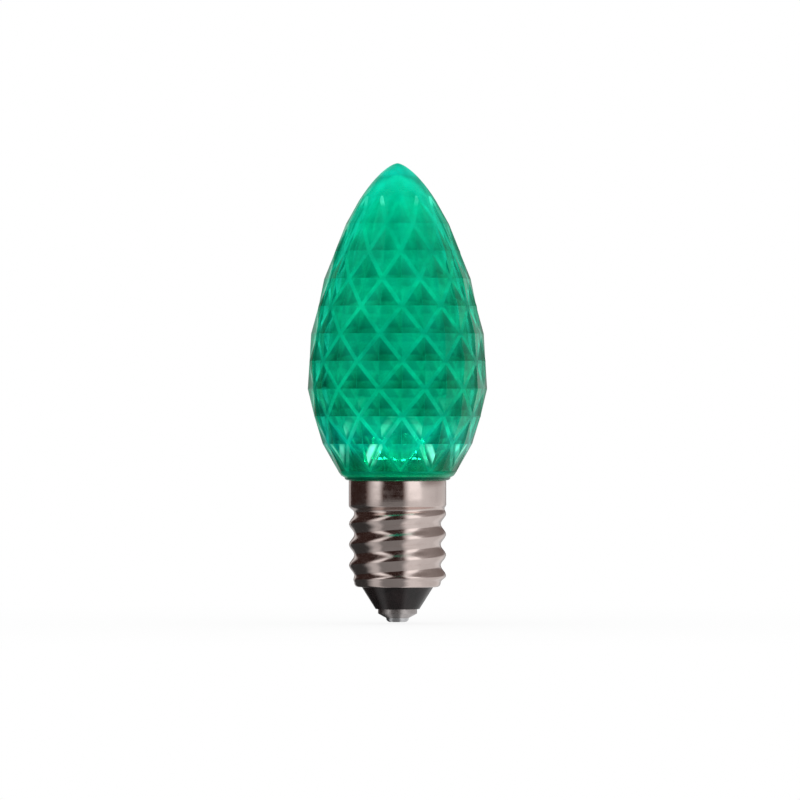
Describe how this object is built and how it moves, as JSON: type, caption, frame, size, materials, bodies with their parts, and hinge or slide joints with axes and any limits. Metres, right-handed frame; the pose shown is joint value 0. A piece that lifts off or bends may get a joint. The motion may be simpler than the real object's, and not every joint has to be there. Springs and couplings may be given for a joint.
{
  "type": "christmas light bulb",
  "caption": "Green faceted LED christmas bulb with a diamond-cut clear lens on a nickel-plated screw base.",
  "frame": {"origin": "on the bulb's axis, at the lowest point of the centre contact's solder", "axes": "+Z along the axis from the centre contact to the tip of the lens; -Y faces the front view, +X to the right"},
  "size_m": [0.022, 0.022, 0.0563],
  "materials": {
    "green_lens": "clear green moulded plastic, faceted",
    "nickel_plate": "bright nickel plate over brass",
    "black_insulator": "black moulded insulator",
    "contact_metal": "nickel-plated stamped brass",
    "solder": "bright tin solder",
    "cement": "set resin cement",
    "white_plastic": "white moulded plastic",
    "board": "white solder mask on glass epoxy",
    "led_epoxy": "clear green epoxy",
    "tinned_lead": "tinned wire",
    "resistor_coat": "tan lacquer",
    "sleeve": "woven insulating sleeve",
    "diode_epoxy": "black moulded epoxy"
  },
  "bodies": {
    "root": {"lens": "green_lens", "screw_shell": "nickel_plate", "insulator": "black_insulator", "centre_contact": "contact_metal", "contact_solder": "solder", "cap_cement": "cement", "board_carrier": "white_plastic", "led_board": "board", "led_1": "led_epoxy", "led_2": "led_epoxy", "led_3": "led_epoxy", "led_leads_1": "tinned_lead", "led_leads_2": "tinned_lead", "led_leads_3": "tinned_lead", "board_solder": "solder", "resistor": "resistor_coat", "resistor_leads": "tinned_lead", "live_sleeve": "sleeve", "diode": "diode_epoxy", "diode_leads": "tinned_lead", "shell_solder": "solder"}
  },
  "joints": []
}
